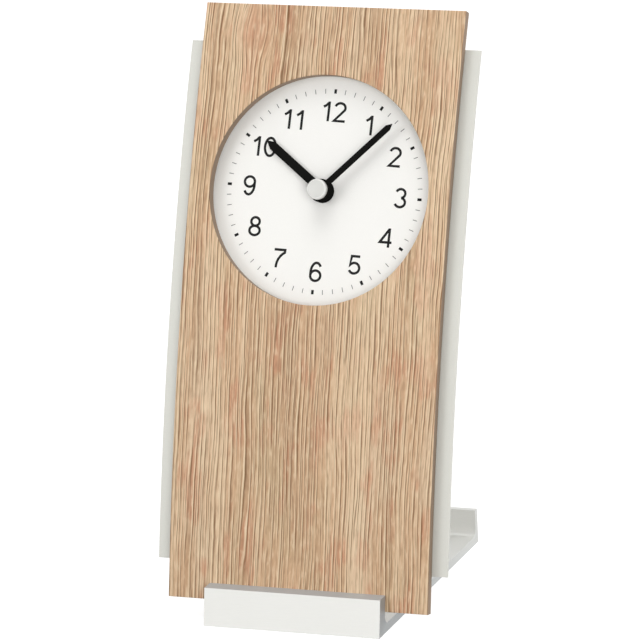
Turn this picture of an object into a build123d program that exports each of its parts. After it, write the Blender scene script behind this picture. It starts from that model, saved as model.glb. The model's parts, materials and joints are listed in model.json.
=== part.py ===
from build123d import *
import os
from math import cos, radians, sin, sqrt, tan

# Desk clock: a bent wooden panel stands in an aluminium foot and carries a flat dial with a
# quartz movement behind it. Millimetres and degrees, +Z up, the front looks along -Y, and the
# origin is the centre of the foot's underside.

# Bent panel, measured along its front face from the lower edge
panel_width = 93.5
panel_length = 204.1
panel_thickness = 4.1
panel_radius = 793.0
panel_lean = 11.4
panel_lift = 7.25
panel_edge_bevel = 0.8
opening_radius = 39.3
dial_drop = 63.0

# Sheet behind the wood
plate_width = 104.4
plate_thickness = 0.8
plate_margin = 12.6
plate_hole_margin = 1.0

# Foot profile
foot_width = 63.3
foot_depth = 105.0
lip_height = 12.8
lip_thickness = 5.3
base_thickness = 3.0
rear_height = 12.25
rear_thickness = 2.4
foot_inner_round = 2.5

# Dial plate and its foam strips
dial_width = 88.0
dial_height = 86.0
dial_thickness = 1.0
dial_corner = 4.0
spacer_width = 2.4
spacer_reach = 36.0

# Screws: shank radius, head radius, head height, length below the head
screw_shank = 0.9
screw_head = 1.9
screw_head_height = 1.2
panel_screw_bite = 2.6
foot_screw_bite = 3.6
foot_screw_spread = 40.0
plate_screw_spread = 84.0
plate_screw_inset = 11.4
plate_screw_drop = 14.1
dial_screw_inset = 4.0

# Clearances
seat_gap = 0.02
screw_gap = 0.1
running_gap = 0.05
end_gap = 0.1

# Battery and its bay
battery_radius = 7.25
battery_length = 50.5
battery_cap_length = 1.3
battery_cap_radius = 2.75
battery_bevel = 0.6
battery_gap = 0.15
contact_thickness = 0.4
contact_width = 7.0
contact_height = 11.0
spring_room = 2.3

# Movement case
case_wall = 1.2
case_corner = 3.0
chamber_below = 10.7
chamber_above = 26.8
pad_size = 48.0
pad_thickness = 1.0
thumb_radius = 8.0
tab_width = 6.0
tab_depth = 3.0
tab_thickness = 1.0
pivot_depth = 0.7
arbor_radius = 0.5

# Wheels: layer heights above the case's floor and tooth shape
first_layer = 1.0
layer_pitch = 1.9
wheel_width = 1.1
pinion_width = 1.4
wheel_addendum = 0.6
pinion_addendum = 0.4
tooth_clearance = 0.25
wheel_shares = (0.24, 0.05)
pinion_shares = (0.2, 0.1)
hub_wall = 1.1

# Tooth counts and modules
motion_module = 0.45
cannon_teeth = 12
motion_teeth = 36
motion_pinion_teeth = 10
hour_teeth = 40
hour_module = motion_module * (cannon_teeth + motion_teeth) / (motion_pinion_teeth + hour_teeth)
centre_module = 0.3
centre_teeth = 60
third_module = 0.25
third_teeth = 64
fourth_module = 0.3
fourth_teeth = 40
fifth_module = 0.25
fifth_teeth = 48
pinion_teeth = 8

# Directions in which each wheel lies from the one that it drives or follows
motion_bearing = 0.0
third_bearing = 135.0
fourth_bearing = 75.0
fifth_bearing = 0.0
rotor_bearing = 0.0

# Hands' centre
minute_shaft = 1.5
hour_pipe = 2.4
bush_wall = 0.85
bush_proud = 0.2
motion_shaft = 0.8

# Hands, heights above the dial's face
boss_radius = 4.0
hour_boss_base = 0.8
hour_boss_height = 3.0
boss_gap = 0.3
minute_boss_height = 2.3
blade_thickness = 0.5
blade_lift = 0.2
hour_length = 27.2
hour_half_width = 1.5
hour_tip = 2.8
minute_length = 33.7
minute_half_width = 1.06
minute_tip = 2.0
hour_angle = 307.4
minute_angle = 45.6
cap_radius = 3.5
cap_height = 1.8
cap_bevel = 0.5

# Setting knob
knob_radius = 6.0
knob_height = 2.6
knob_ribs = 28
knob_rib_depth = 0.4
knob_shares = (0.3, 0.2)
knob_gap = 0.4

# Stepping motor
magnet_radius = 2.4
magnet_height = 2.2
magnet_gap = 0.6
stator_thickness = 1.0
stator_ring = 1.6
core_width = 3.0
coil_side_gap = 1.2
coil_reach = 8.5
coil_half = 3.6
bobbin_wall = 0.6
flange_thickness = 1.0
winding_inset = 0.5
post_radius = 0.8

# Circuit board
board_width = 8.5
board_length = 31.0
board_thickness = 0.8
board_rise = 9.4
board_side_gap = 0.8
board_lower_gap = 1.7
chip_radius = 2.6
chip_height = 0.9
crystal_radius = 1.0
crystal_length = 6.0

# Bent panel: centre of curvature and points on its section
origin_y = -foot_depth / 2
lean = radians(panel_lean)
panel_y = origin_y + lip_thickness + panel_lift * tan(lean) + seat_gap
curve_y = panel_y + panel_radius * cos(lean)
curve_z = panel_lift - panel_radius * sin(lean)


def lean_at(rise):
    return lean + rise / panel_radius


def on_panel(rise, depth):
    """Section point at a distance along the front face and a depth behind it."""
    angle = lean_at(rise)
    reach = panel_radius - depth
    return (curve_y - reach * cos(angle), curve_z + reach * sin(angle))


def plane_behind(x, rise, depth):
    """Plane at a depth behind the front face, looking out of the back."""
    angle = lean_at(rise)
    y, z = on_panel(rise, depth)
    return Plane(origin=(x, y, z), x_dir=(1, 0, 0), z_dir=(0, cos(angle), -sin(angle)))


# Dial: a flat plate that touches the bent sheet along its upper and lower edges
dial_rise = panel_length - dial_drop
plate_depth = panel_thickness + plate_thickness
plate_back_radius = panel_radius - plate_depth
dial_depth = panel_radius - sqrt(plate_back_radius**2 - (dial_height / 2) ** 2) + seat_gap
dial_lean = lean_at(dial_rise)
dial_y, dial_z = on_panel(dial_rise, dial_depth)
dial_plane = Plane(
    origin=(0, dial_y, dial_z), x_dir=(1, 0, 0), z_dir=(0, -cos(dial_lean), sin(dial_lean))
)
plate_hole = opening_radius + plate_hole_margin
dial_screw_x = dial_width / 2 - dial_screw_inset
dial_screw_y = dial_height / 2 - dial_screw_inset
corner_signs = [(1, 1), (1, -1), (-1, -1), (-1, 1)]

# Movement depths behind the dial's face
case_front = dial_thickness + pad_thickness
case_floor = case_front + case_wall
bay_height = 2 * (battery_radius + battery_gap)
case_back = case_floor + bay_height
cover_front = case_back - case_wall

# Movement plan about the hands' centre
bay_top = -chamber_below - case_wall
bay_bottom = bay_top - bay_height
bay_half = (battery_length + 2 * contact_thickness + spring_room) / 2
case_half = bay_half + case_wall
case_top = chamber_above + case_wall
case_bottom = bay_bottom - case_wall
cover_bottom = -chamber_below - case_wall / 2
battery_y = (bay_top + bay_bottom) / 2
battery_depth = case_floor + battery_gap + battery_radius


def layer(number):
    return case_floor + first_layer + number * layer_pitch


def step_from(start, module, teeth, bearing):
    """Centre of a wheel that meshes with the one at start."""
    reach = module * sum(teeth) / 2
    return (start[0] + reach * cos(radians(bearing)), start[1] + reach * sin(radians(bearing)))


centre = (0.0, 0.0)
motion_at = step_from(centre, motion_module, (cannon_teeth, motion_teeth), motion_bearing)
third_at = step_from(centre, centre_module, (pinion_teeth, centre_teeth), third_bearing)
fourth_at = step_from(third_at, third_module, (pinion_teeth, third_teeth), fourth_bearing)
fifth_at = step_from(fourth_at, fourth_module, (pinion_teeth, fourth_teeth), fifth_bearing)
rotor_at = step_from(fifth_at, fifth_module, (pinion_teeth, fifth_teeth), rotor_bearing)
coil_x = bay_half - coil_side_gap - coil_half
board_x = -bay_half + board_side_gap + board_width / 2
board_y = -chamber_below + board_lower_gap + board_length / 2
board_front = case_floor + board_rise
post_heads = [
    (board_x, board_y + side * (board_length / 2 - 2 * post_radius), board_front)
    for side in (-1, 1)
] + [
    (coil_x - coil_half, rotor_at[1] + side * coil_reach, layer(3) - stator_thickness / 2)
    for side in (-1, 1)
]


def rod(at, radius, front, back):
    """Round bar between two depths behind the dial's face."""
    return Pos(at[0], at[1], -(front + back) / 2) * Cylinder(radius, back - front)


def slab(low, high, front, back):
    """Block between two corners and two depths behind the dial's face."""
    middle = ((low[0] + high[0]) / 2, (low[1] + high[1]) / 2, -(front + back) / 2)
    return Pos(*middle) * Box(high[0] - low[0], high[1] - low[1], back - front)


def toothed(teeth, tip, root, phase, shares):
    """Outline of straight-sided teeth, one centred on phase, with half widths as shares of the pitch."""
    pitch = 360 / teeth
    at_root, at_tip = shares
    corners = [(root, -at_root), (tip, -at_tip), (tip, at_tip), (root, at_root)]
    points = []
    for number in range(teeth):
        for radius, part in corners:
            angle = radians(phase + (number + part) * pitch)
            points.append((radius * cos(angle), radius * sin(angle)))
    return Polygon(*points, align=None)


def gear(at, module, teeth, phase, middle, width, addendum, dedendum, shares):
    pitch_radius = module * teeth / 2
    outline = toothed(
        teeth, pitch_radius + addendum * module, pitch_radius - dedendum * module, phase, shares
    )
    return Pos(at[0], at[1], -middle - width / 2) * extrude(outline, width)


def wheel(at, module, teeth, bearing, middle):
    """Wheel with a gap towards the pinion that lies along bearing from it."""
    dedendum = pinion_addendum + tooth_clearance
    phase = bearing + 180 / teeth
    return gear(at, module, teeth, phase, middle, wheel_width, wheel_addendum, dedendum, wheel_shares)


def pinion(at, module, teeth, bearing, middle):
    """Pinion with a tooth towards the wheel that lies along bearing from it."""
    dedendum = wheel_addendum + tooth_clearance
    return gear(at, module, teeth, bearing, middle, pinion_width, pinion_addendum, dedendum, pinion_shares)


def arbor(at, front, back):
    return rod(at, arbor_radius, front + end_gap, back - end_gap)


def train_arbor(at):
    return arbor(at, case_floor - pivot_depth, cover_front + pivot_depth)


def screw(length):
    """Screw with its seat at the origin and its head along +Z."""
    head = Pos(0, 0, screw_head_height / 2) * Cylinder(screw_head, screw_head_height)
    return head + Pos(0, 0, -length / 2) * Cylinder(screw_shank, length)


def drill(plane, radius, depth):
    return plane.location * Pos(0, 0, -depth / 2) * Cylinder(radius, depth)


# Screw places: one plane at each seat, looking out of the back
plate_start, plate_end = plate_margin, panel_length - plate_margin
plate_screw_rises = (plate_start + plate_screw_inset, dial_rise - dial_height / 2 - plate_screw_drop)
plate_screw_planes = [
    plane_behind(side * plate_screw_spread / 2, rise, plate_depth + seat_gap)
    for rise in plate_screw_rises
    for side in (-1, 1)
]
foot_screw_rise = (lip_height - panel_lift) / cos(lean) / 2
foot_screw_planes = [
    plane_behind(side * foot_screw_spread / 2, foot_screw_rise, panel_thickness + seat_gap)
    for side in (-1, 1)
]
dial_screw_planes = [
    Plane(
        origin=(dial_plane.location * Pos(x * dial_screw_x, y * dial_screw_y, -dial_thickness)).position,
        x_dir=(1, 0, 0),
        z_dir=-dial_plane.z_dir,
    )
    for x, y in corner_signs
]
dial_screw_length = dial_thickness + dial_depth - plate_depth + plate_thickness + panel_screw_bite
plate_screw_length = plate_thickness + seat_gap + panel_screw_bite
foot_screw_length = panel_thickness + seat_gap + foot_screw_bite


def bent_sheet(width, start, end, front, back):
    """Sheet that follows the panel's curve between two depths."""
    middle = (start + end) / 2
    section = make_face(
        [
            ThreePointArc(on_panel(start, front), on_panel(middle, front), on_panel(end, front)),
            Line(on_panel(end, front), on_panel(end, back)),
            ThreePointArc(on_panel(end, back), on_panel(middle, back), on_panel(start, back)),
            Line(on_panel(start, back), on_panel(start, front)),
        ]
    )
    return extrude(Plane.YZ * section, width / 2, both=True)


def front_panel():
    panel = bent_sheet(panel_width, 0, panel_length, 0, panel_thickness)
    rear_face = panel.faces().filter_by(GeomType.CYLINDER).sort_by(Axis.Y)[-1]
    side_edges = rear_face.edges().filter_by(GeomType.CIRCLE)
    panel = chamfer(side_edges, panel_edge_bevel)
    panel -= dial_plane.location * Cylinder(opening_radius, 6 * panel_thickness)
    for plane in plate_screw_planes:
        panel -= drill(plane, screw_shank, plate_screw_length)
    for plane in dial_screw_planes:
        panel -= drill(plane, screw_shank, dial_screw_length)
    for plane in foot_screw_planes:
        panel -= drill(plane, screw_shank, foot_screw_length)
    return panel


def back_plate():
    plate = bent_sheet(plate_width, plate_start, plate_end, panel_thickness, plate_depth)
    plate -= dial_plane.location * Cylinder(plate_hole, 6 * plate_depth)
    for plane in plate_screw_planes:
        plate -= drill(plane, screw_shank + screw_gap, plate_screw_length)
    for plane in dial_screw_planes:
        plate -= drill(plane, screw_shank + screw_gap, dial_screw_length)
    return plate


def foot_bracket():
    front, rear = origin_y, origin_y + foot_depth
    slope = tan(lean)
    outline = Polyline(
        (front, 0),
        (rear, 0),
        (rear, rear_height),
        (rear - rear_thickness, rear_height),
        (rear - rear_thickness, base_thickness),
        (front + lip_thickness + base_thickness * slope, base_thickness),
        (front + lip_thickness + lip_height * slope, lip_height),
        (front + lip_height * slope, lip_height),
        close=True,
    )
    foot = extrude(Plane.YZ * make_face(outline), foot_width / 2, both=True)
    along = foot.edges().filter_by(Axis.X)
    inner = [
        edge
        for edge in along
        if abs(edge.center().Z - base_thickness) < seat_gap
    ]
    foot = fillet(inner, foot_inner_round)
    for plane in foot_screw_planes:
        foot -= drill(plane, screw_shank, foot_screw_length)
    return foot


def screws(planes, length):
    return Compound(children=[plane.location * screw(length) for plane in planes])


def dial():
    plate = Pos(0, 0, -dial_thickness / 2) * Box(dial_width, dial_height, dial_thickness)
    plate = fillet(plate.edges().filter_by(Axis.Z), dial_corner)
    plate -= rod(centre, hour_pipe + running_gap + bush_wall + screw_gap, 0, dial_thickness)
    for x, y in corner_signs:
        at = (x * dial_screw_x, y * dial_screw_y)
        plate -= rod(at, screw_shank + screw_gap, 0, dial_thickness)
    return dial_plane.location * plate


def dial_spacers():
    ring = rod(centre, plate_hole + spacer_width, -dial_depth, 0) - rod(centre, plate_hole, -dial_depth, 0)
    band = Box(4 * plate_hole, 2 * spacer_reach, 4 * dial_depth)
    ahead = bent_sheet(2 * plate_width, plate_start, plate_end, -dial_depth, plate_depth)
    return dial_plane.location * (ring & band) - ahead


def mounting_pad():
    half = pad_size / 2
    pad = slab((-half, -half), (half, half), dial_thickness, case_front)
    hole = hour_pipe + running_gap + bush_wall + screw_gap
    return dial_plane.location * (pad - rod(centre, hole, dial_thickness, case_front))


def case_outline(front, back):
    block = slab((-case_half, case_bottom), (case_half, case_top), front, back)
    return fillet(block.edges().filter_by(Axis.Z), case_corner)


def movement_case():
    case = case_outline(case_front, case_back)
    case -= slab((-bay_half, -chamber_below), (bay_half, chamber_above), case_floor, case_back)
    case -= slab((-bay_half, bay_bottom), (bay_half, bay_top), case_floor, case_back)
    case -= slab((-case_half, cover_bottom), (case_half, case_top), cover_front, case_back)
    case -= Pos(0, case_bottom, -case_back) * Rot(90, 0, 0) * Cylinder(thumb_radius, 4 * case_wall)
    bush = hour_pipe + running_gap
    case += rod(centre, bush + bush_wall, -bush_proud, case_front)
    case -= rod(centre, bush, -bush_proud, case_floor)
    for x, y, head in post_heads:
        case += rod((x, y), post_radius, case_floor, head)
    for at in (third_at, fourth_at, fifth_at, rotor_at):
        case -= rod(at, arbor_radius + running_gap, case_floor - pivot_depth, case_floor)
    case -= rod(motion_at, motion_shaft + running_gap, case_floor - pivot_depth, case_floor)
    return dial_plane.location * case


def movement_cover():
    block = case_outline(cover_front, case_back)
    cover = block & slab((-case_half, cover_bottom), (case_half, case_top), cover_front, case_back)
    for side in (-1, 1):
        outer = side * (bay_half - end_gap)
        inner = outer - side * tab_thickness
        low, high = min(outer, inner), max(outer, inner)
        cover += slab((low, -tab_width / 2), (high, tab_width / 2), cover_front - tab_depth, cover_front)
    for at in (centre, third_at, fourth_at, fifth_at, rotor_at):
        cover -= rod(at, arbor_radius + running_gap, cover_front, cover_front + pivot_depth)
    cover -= rod(motion_at, motion_shaft + running_gap, cover_front, case_back)
    return dial_plane.location * cover


def battery():
    end = bay_half - contact_thickness
    shoulder = end - battery_cap_length
    body_length = battery_length - battery_cap_length
    along = Rot(0, 90, 0)
    body = Pos(shoulder - body_length / 2, 0, 0) * along * Cylinder(battery_radius, body_length)
    body = chamfer(body.edges().filter_by(GeomType.CIRCLE), battery_bevel)
    cap = Pos(end - battery_cap_length / 2, 0, 0) * along * Cylinder(battery_cap_radius, battery_cap_length)
    return dial_plane.location * Pos(0, battery_y, -battery_depth) * (body + cap)


def contact_strip(side):
    wall = side * bay_half
    face = wall - side * contact_thickness
    low, high = min(wall, face), max(wall, face)
    half = contact_width / 2
    front = battery_depth - contact_height / 2
    return slab((low, battery_y - half), (high, battery_y + half), front, front + contact_height)


def contact_positive():
    return dial_plane.location * contact_strip(1)


def contact_negative():
    face = -bay_half + contact_thickness
    reach = spring_room
    top = -(battery_depth - contact_height / 2)
    leaf = Polyline(
        (face, top),
        (face + reach, -battery_depth + contact_thickness),
        (face + reach, -battery_depth - contact_thickness),
        (face + reach - contact_thickness, -battery_depth - contact_thickness),
        (face, top - 2 * contact_thickness),
        close=True,
    )
    bent = extrude(Plane.XZ * make_face(leaf), contact_width / 2, both=True)
    return dial_plane.location * (contact_strip(-1) + Pos(0, battery_y, 0) * bent)


def circuit_board():
    low = (board_x - board_width / 2, board_y - board_length / 2)
    high = (board_x + board_width / 2, board_y + board_length / 2)
    back = board_front + board_thickness
    board = slab(low, high, board_front, back)
    chip = rod((board_x, board_y - board_length / 4), chip_radius, back, back + chip_height)
    return dial_plane.location * (board + chip)


def quartz_crystal():
    at = (board_x, board_y + board_length / 4, -board_front - board_thickness - crystal_radius)
    return dial_plane.location * Pos(*at) * Rot(90, 0, 0) * Cylinder(crystal_radius, crystal_length)


def stator():
    x, y = rotor_at
    eye = magnet_radius + magnet_gap + stator_ring
    far = coil_x + core_width / 2
    middle = layer(3)
    front, back = middle - stator_thickness / 2, middle + stator_thickness / 2
    frame = slab((x, y - coil_reach - core_width / 2), (far, y + coil_reach + core_width / 2), front, back)
    window = slab(
        (x - eye, y - coil_reach + core_width / 2),
        (coil_x - core_width / 2, y + coil_reach - core_width / 2),
        front,
        back,
    )
    bridge = slab((x, y - coil_reach), (x + eye, y + coil_reach), front, back)
    plate = frame - window + bridge + rod(rotor_at, eye, front, back)
    return dial_plane.location * (plate - rod(rotor_at, magnet_radius + magnet_gap, front, back))


def coil_box(half_x, half_depth, half_length):
    low = (coil_x - half_x, rotor_at[1] - half_length)
    high = (coil_x + half_x, rotor_at[1] + half_length)
    return slab(low, high, layer(3) - half_depth, layer(3) + half_depth)


coil_length = coil_reach - core_width / 2 - end_gap
core_fit_x = core_width / 2 + running_gap
core_fit_depth = stator_thickness / 2 + running_gap
spool_x = core_fit_x + bobbin_wall
spool_depth = core_fit_depth + bobbin_wall


def coil_bobbin():
    spool = coil_box(coil_half, coil_half, coil_length)
    inside = coil_length - flange_thickness
    spool -= coil_box(coil_half, coil_half, inside) - coil_box(spool_x, spool_depth, inside)
    return dial_plane.location * (spool - coil_box(core_fit_x, core_fit_depth, coil_length))


def coil_winding():
    inside = coil_length - flange_thickness
    outer = coil_half - winding_inset
    bundle = coil_box(outer, outer, inside)
    bundle = fillet(bundle.edges().filter_by(Axis.Y), outer / 2)
    return dial_plane.location * (bundle - coil_box(spool_x, spool_depth, inside))


def rotor():
    drive = pinion(rotor_at, fifth_module, pinion_teeth, rotor_bearing + 180, layer(2))
    middle = layer(3)
    magnet = rod(rotor_at, magnet_radius, middle - magnet_height / 2, middle + magnet_height / 2)
    return dial_plane.location * (train_arbor(rotor_at) + drive + magnet)


def fifth_wheel():
    driven = wheel(fifth_at, fifth_module, fifth_teeth, rotor_bearing, layer(2))
    drive = pinion(fifth_at, fourth_module, pinion_teeth, fifth_bearing + 180, layer(4))
    return dial_plane.location * (train_arbor(fifth_at) + driven + drive)


def fourth_wheel():
    driven = wheel(fourth_at, fourth_module, fourth_teeth, fifth_bearing, layer(4))
    drive = pinion(fourth_at, third_module, pinion_teeth, fourth_bearing + 180, layer(3))
    return dial_plane.location * (train_arbor(fourth_at) + driven + drive)


def third_wheel():
    driven = wheel(third_at, third_module, third_teeth, fourth_bearing, layer(3))
    drive = pinion(third_at, centre_module, pinion_teeth, third_bearing + 180, layer(2))
    return dial_plane.location * (train_arbor(third_at) + driven + drive)


def centre_wheel():
    driven = wheel(centre, centre_module, centre_teeth, third_bearing, layer(2))
    hub_radius = minute_shaft + running_gap + hub_wall
    hub = rod(centre, hub_radius, layer(2) - pinion_width / 2, layer(2) + pinion_width / 2)
    bore = rod(centre, minute_shaft + running_gap, layer(1), layer(3))
    return dial_plane.location * (driven + hub - bore)


hour_boss_top = hour_boss_base + hour_boss_height
minute_boss_base = hour_boss_top + boss_gap
minute_boss_top = minute_boss_base + minute_boss_height


def minute_arbor():
    shaft = rod(centre, minute_shaft, -minute_boss_top, layer(2) + pinion_width / 2)
    pivot = arbor(centre, layer(2), cover_front + pivot_depth)
    cannon = pinion(centre, motion_module, cannon_teeth, motion_bearing, layer(1))
    return dial_plane.location * (shaft + pivot + cannon)


def hour_wheel():
    driven = wheel(centre, hour_module, hour_teeth, motion_bearing, layer(0))
    pipe = rod(centre, hour_pipe, -hour_boss_top, layer(0) + wheel_width / 2)
    bore = rod(centre, minute_shaft + running_gap, -hour_boss_top, layer(1))
    return dial_plane.location * (driven + pipe - bore)


def motion_wheel():
    towards_centre = motion_bearing + 180
    driven = wheel(motion_at, motion_module, motion_teeth, towards_centre, layer(1))
    drive = pinion(motion_at, hour_module, motion_pinion_teeth, towards_centre, layer(0))
    front = case_floor - pivot_depth + end_gap
    shaft = rod(motion_at, motion_shaft, front, case_back + knob_gap + knob_height / 2)
    return dial_plane.location * (driven + drive + shaft)


def setting_knob():
    front = case_back + knob_gap
    outline = toothed(knob_ribs, knob_radius, knob_radius - knob_rib_depth, 0, knob_shares)
    knob = Pos(motion_at[0], motion_at[1], -front - knob_height) * extrude(outline, knob_height)
    return dial_plane.location * (knob - rod(motion_at, motion_shaft, front, front + knob_height / 2))


def hand(length, half_width, tip, angle, boss_base, boss_height, bore):
    """Straight blade with a pointed end, on a tall round boss."""
    blade = Polygon(
        (-half_width, 0),
        (half_width, 0),
        (half_width, length - tip),
        (0, length),
        (-half_width, length - tip),
        align=None,
    )
    blade = Pos(0, 0, boss_base + blade_lift) * extrude(blade, blade_thickness)
    boss = rod(centre, boss_radius, -boss_base - boss_height, -boss_base)
    body = Rot(0, 0, -angle) * blade + boss
    return dial_plane.location * (body - rod(centre, bore, -boss_base - boss_height, -boss_base))


def hour_hand():
    shape = (hour_length, hour_half_width, hour_tip, hour_angle)
    return hand(*shape, hour_boss_base, hour_boss_height, hour_pipe)


def minute_hand():
    shape = (minute_length, minute_half_width, minute_tip, minute_angle)
    return hand(*shape, minute_boss_base, minute_boss_height, minute_shaft)


def hub_cap():
    cap = rod(centre, cap_radius, -minute_boss_top - cap_height, -minute_boss_top)
    return dial_plane.location * chamfer(cap.edges().sort_by(Axis.Z)[-1], cap_bevel)


nodes = {
    "front_panel": front_panel(),
    "back_plate": back_plate(),
    "foot_bracket": foot_bracket(),
    "foot_screws": screws(foot_screw_planes, foot_screw_length),
    "plate_screws": screws(plate_screw_planes, plate_screw_length),
    "dial": dial(),
    "dial_screws": screws(dial_screw_planes, dial_screw_length),
    "dial_spacers": dial_spacers(),
    "mounting_pad": mounting_pad(),
    "movement_case": movement_case(),
    "movement_cover": movement_cover(),
    "battery": battery(),
    "contact_positive": contact_positive(),
    "contact_negative": contact_negative(),
    "circuit_board": circuit_board(),
    "quartz_crystal": quartz_crystal(),
    "stator": stator(),
    "coil_bobbin": coil_bobbin(),
    "coil_winding": coil_winding(),
    "rotor": rotor(),
    "fifth_wheel": fifth_wheel(),
    "fourth_wheel": fourth_wheel(),
    "third_wheel": third_wheel(),
    "centre_wheel": centre_wheel(),
    "minute_arbor": minute_arbor(),
    "hour_wheel": hour_wheel(),
    "motion_wheel": motion_wheel(),
    "setting_knob": setting_knob(),
    "hour_hand": hour_hand(),
    "minute_hand": minute_hand(),
    "hub_cap": hub_cap(),
}

os.makedirs("parts", exist_ok=True)
for name, shape in nodes.items():
    export_step(shape, f"parts/{name}.step")
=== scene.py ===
import json
from math import asin, atan2, cos, hypot, inf, pi, radians, sin, tan

import bmesh
import bpy
from mathutils import Matrix, Vector


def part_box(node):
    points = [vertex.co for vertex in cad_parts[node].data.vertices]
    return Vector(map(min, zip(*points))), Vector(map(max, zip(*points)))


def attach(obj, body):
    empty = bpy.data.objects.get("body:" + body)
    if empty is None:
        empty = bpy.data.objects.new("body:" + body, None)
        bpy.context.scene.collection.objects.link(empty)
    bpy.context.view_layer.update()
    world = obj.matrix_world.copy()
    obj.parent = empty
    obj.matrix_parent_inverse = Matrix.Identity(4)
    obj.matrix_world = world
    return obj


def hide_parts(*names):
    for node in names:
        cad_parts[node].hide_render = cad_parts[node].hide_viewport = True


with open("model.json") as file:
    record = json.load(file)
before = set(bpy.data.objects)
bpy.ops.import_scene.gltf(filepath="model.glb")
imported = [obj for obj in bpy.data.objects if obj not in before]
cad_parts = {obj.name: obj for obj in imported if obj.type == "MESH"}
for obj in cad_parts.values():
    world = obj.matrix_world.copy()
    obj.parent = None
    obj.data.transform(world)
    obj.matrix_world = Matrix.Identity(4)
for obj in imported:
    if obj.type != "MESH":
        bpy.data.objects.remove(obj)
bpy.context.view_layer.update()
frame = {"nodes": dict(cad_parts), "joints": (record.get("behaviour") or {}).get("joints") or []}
mm = 0.001
hub = Vector(frame["joints"][0]["pos_m"])
backward = Vector(frame["joints"][0]["axis"])
dialLean = atan2(-backward.z, backward.y)
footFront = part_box("foot_bracket")[0].y / mm
print("frame loaded:", len(frame["nodes"]), "nodes")

# Dial frame: x to the viewer's right, y up the dial, z towards the viewer, in millimetres
dialRight = Vector((1, 0, 0))
dialUp = Vector((0, sin(dialLean), cos(dialLean)))
dialFrame = Matrix((dialRight, dialUp, -backward)).transposed().to_4x4()
dialFrame = Matrix.Translation(hub) @ dialFrame @ Matrix.Scale(mm, 4)


# Node helpers
def linear(colour):
    steps = [c / 255 for c in colour]
    return tuple(c / 12.92 if c < 0.04 else ((c + 0.055) / 1.055) ** 2.4 for c in steps) + (1.0,)


def addNode(tree, kind, inputs=None, **settings):
    node = tree.nodes.new(kind)
    for key, value in settings.items():
        setattr(node, key, value)
    for key, value in (inputs or {}).items():
        if isinstance(value, bpy.types.NodeSocket):
            tree.links.new(value, node.inputs[key])
        else:
            node.inputs[key].default_value = value
    return node


def calc(tree, operation, first, second=0.0, clamp=False):
    settings = {"operation": operation, "use_clamp": clamp}
    return addNode(tree, "ShaderNodeMath", {0: first, 1: second}, **settings).outputs[0]


def vectorCalc(tree, operation, first, second=(0, 0, 0), result="Vector"):
    return addNode(tree, "ShaderNodeVectorMath", {0: first, 1: second}, operation=operation).outputs[result]


def stretched(tree, vector, factors):
    return vectorCalc(tree, "MULTIPLY", vector, factors)


def axisOf(tree, vector, index):
    return addNode(tree, "ShaderNodeSeparateXYZ", {0: vector}).outputs[index]


def combined(tree, x=0.0, y=0.0, z=0.0):
    return addNode(tree, "ShaderNodeCombineXYZ", {0: x, 1: y, 2: z}).outputs[0]


def noise(tree, vector, detail=2.0, roughness=0.5):
    inputs = {"Vector": vector, "Scale": 1.0, "Detail": detail, "Roughness": roughness}
    return addNode(tree, "ShaderNodeTexNoise", inputs).outputs[0]


def spread(tree, value, low, high, toLow=0.0, toHigh=1.0, shape="SMOOTHSTEP"):
    inputs = {"Value": value, "From Min": low, "From Max": high, "To Min": toLow, "To Max": toHigh}
    return addNode(tree, "ShaderNodeMapRange", inputs, interpolation_type=shape).outputs[0]


def mixed(tree, share, first, second):
    node = addNode(tree, "ShaderNodeMix", data_type="RGBA")
    for socket, value in ((node.inputs[0], share), (node.inputs[6], first), (node.inputs[7], second)):
        if isinstance(value, bpy.types.NodeSocket):
            tree.links.new(value, socket)
        else:
            socket.default_value = value
    return node.outputs[2]


# Object coordinates in millimetres, turned about X and moved so that origin lies at zero
def turnedCoords(tree, tilt, origin=Vector((0, 0, 0))):
    place = -(Matrix.Rotation(tilt, 3, "X") @ origin) / mm
    source = addNode(tree, "ShaderNodeTexCoord").outputs["Object"]
    inputs = {"Vector": source, "Scale": (1 / mm,) * 3, "Rotation": (tilt, 0, 0), "Location": place}
    return addNode(tree, "ShaderNodeMapping", inputs).outputs[0]


def dialCoords(tree):
    return turnedCoords(tree, dialLean - pi / 2, hub)


def newFinish(name, colour, roughness, metallic=0.0, specular=0.5):
    finish = bpy.data.materials.new(name)
    finish.use_nodes = True
    shader = finish.node_tree.nodes["Principled BSDF"]
    shader.inputs["Base Color"].default_value = linear(colour)
    shader.inputs["Roughness"].default_value = roughness
    shader.inputs["Metallic"].default_value = metallic
    shader.inputs["Specular IOR Level"].default_value = specular
    return finish, finish.node_tree, shader


def addBump(tree, shader, height, depth, strength=1.0):
    inputs = {"Height": height, "Distance": depth * mm, "Strength": strength}
    tree.links.new(addNode(tree, "ShaderNodeBump", inputs).outputs[0], shader.inputs["Normal"])


# A finish with fine grain: colour, gloss and height vary with one noise, drawn out by its factors
def grained(name, colour, other, roughness, metallic=0.0, specular=0.5, perMm=(2, 2, 2), depth=0.01):
    finish, tree, shader = newFinish(name, colour, roughness, metallic, specular)
    sheen = 0.06
    grain = noise(tree, stretched(tree, turnedCoords(tree, 0.0), perMm), 4.0, 0.6)
    tone = mixed(tree, spread(tree, grain, 0.3, 0.7), linear(colour), linear(other))
    gloss = spread(tree, grain, 0.25, 0.75, roughness - sheen, roughness + sheen)
    tree.links.new(tone, shader.inputs["Base Color"])
    tree.links.new(gloss, shader.inputs["Roughness"])
    addBump(tree, shader, grain, depth)
    return finish


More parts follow.
